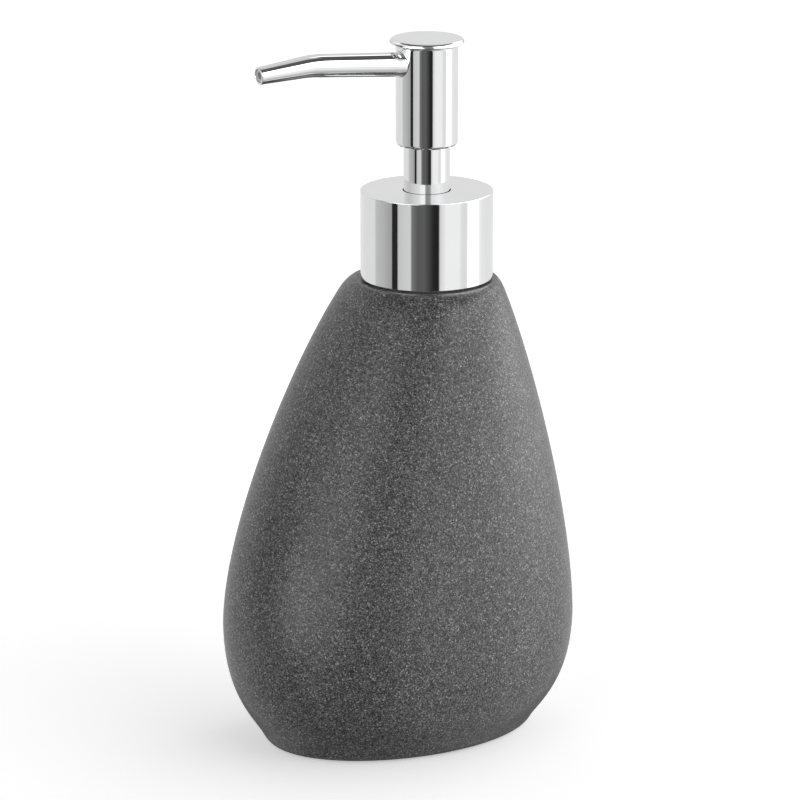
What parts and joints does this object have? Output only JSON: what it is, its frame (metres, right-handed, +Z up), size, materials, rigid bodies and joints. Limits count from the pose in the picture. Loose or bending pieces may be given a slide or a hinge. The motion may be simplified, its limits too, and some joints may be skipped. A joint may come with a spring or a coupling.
{
  "type": "soap pump dispenser",
  "caption": "Free-standing liquid soap dispenser: a pebble-shaped stone-effect bottle with a chromed screw-on lotion pump, straight collar, press head and slim spout.",
  "frame": {"origin": "on the pump's axis, in the plane the dispenser stands on (the underside of the base pad)", "axes": "+Z is up along the pump's axis; -Y is the way the spout points and the bottle's deeper belly faces; X runs across"},
  "size_m": [0.073, 0.0923, 0.1807],
  "materials": {
    "stone_effect": "satin",
    "bright_chrome": "polished",
    "white_plastic": "satin",
    "seal_plastic": "satin",
    "grey_plastic": "satin",
    "black_plastic": "satin",
    "clear_plastic": "gloss",
    "gasket_rubber": "matte",
    "foam_pad": "matte",
    "spring_steel": "satin"
  },
  "bodies": {
    "bottle": {"bottle_body": "stone_effect", "neck_insert": "white_plastic", "base_pad": "foam_pad"},
    "pump_core": {"pump_housing": "white_plastic", "chaplet": "white_plastic", "guide_sleeve": "bright_chrome", "gasket": "gasket_rubber", "dip_tube": "clear_plastic", "spring": "spring_steel", "spring_seat": "white_plastic"},
    "closure": {"closure_cap": "black_plastic", "collar_shell": "bright_chrome"},
    "plunger": {"piston_seal": "seal_plastic"},
    "head": {"head_shell": "bright_chrome", "head_cap": "bright_chrome", "head_core": "white_plastic", "spout": "bright_chrome", "spout_liner": "grey_plastic", "piston_stem": "white_plastic", "valve_plug": "white_plastic"},
    "ball": {"check_ball": "spring_steel"}
  },
  "joints": [
    {"name": "pump_rise", "type": "slide", "parent": "bottle", "child": "pump_core", "axis": [0, 0, 1], "range_m": [0, 0.0042]},
    {"name": "collar_turn", "type": "hinge", "parent": "pump_core", "child": "closure", "pos_m": [0, 0, 0.1304], "axis": [0, 0, 1], "range_deg": [0, 360]},
    {"name": "press", "type": "slide", "parent": "pump_core", "child": "plunger", "axis": [0, 0, -1], "range_m": [0, 0.0112], "stiffness_N_per_m": 600, "springref_m": -0.006, "deforming": ["spring"]},
    {"name": "swivel", "type": "hinge", "parent": "plunger", "child": "head", "pos_m": [0, 0, 0.1612], "axis": [0, 0, 1], "continuous": true},
    {"name": "ball_lift", "type": "slide", "parent": "pump_core", "child": "ball", "axis": [0, 0, 1], "range_m": [0, 0.0015]}
  ],
  "couplings": [
    {"joint": "collar_turn", "follows": "pump_rise", "rad_per_m": 1496}
  ]
}
